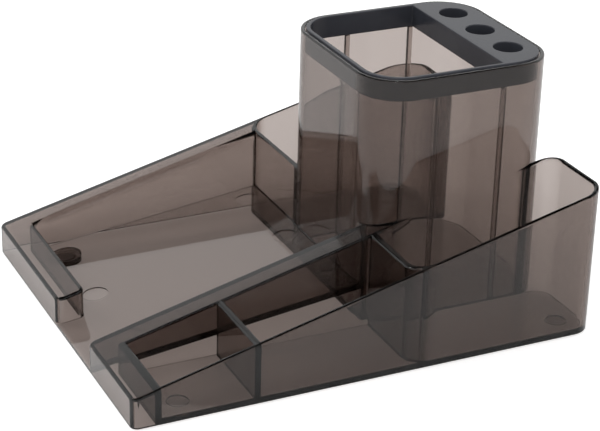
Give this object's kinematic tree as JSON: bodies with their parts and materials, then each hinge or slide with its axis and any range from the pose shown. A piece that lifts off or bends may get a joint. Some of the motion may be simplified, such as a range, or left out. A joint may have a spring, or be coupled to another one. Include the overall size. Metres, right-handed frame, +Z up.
{
  "type": "pen stand",
  "caption": "Smoked clear desk stand with a sloping note tray, side bins and a square pen cup that holds a drop-in pen rack.",
  "frame": {"origin": "on the desk, under the middle of the stand's box", "axes": "+Z up, -Y towards the open front of the note tray, +X towards the row of small bins"},
  "size_m": [0.164, 0.2014, 0.1066],
  "materials": {
    "smoked_clear_plastic": "polished, clear, smoked grey-brown",
    "charcoal_plastic": "satin",
    "soft_pad": "matte, slightly clear"
  },
  "bodies": {
    "base": {"body": "smoked_clear_plastic", "pad_front_left": "soft_pad", "pad_front_right": "soft_pad", "pad_back_left": "soft_pad", "pad_back_right": "soft_pad"},
    "rack": {"pen_rack": "charcoal_plastic"}
  },
  "joints": [
    {"name": "rack_lift", "type": "slide", "parent": "base", "child": "rack", "axis": [0, 0, 1], "range_m": [0, 0.04]}
  ]
}
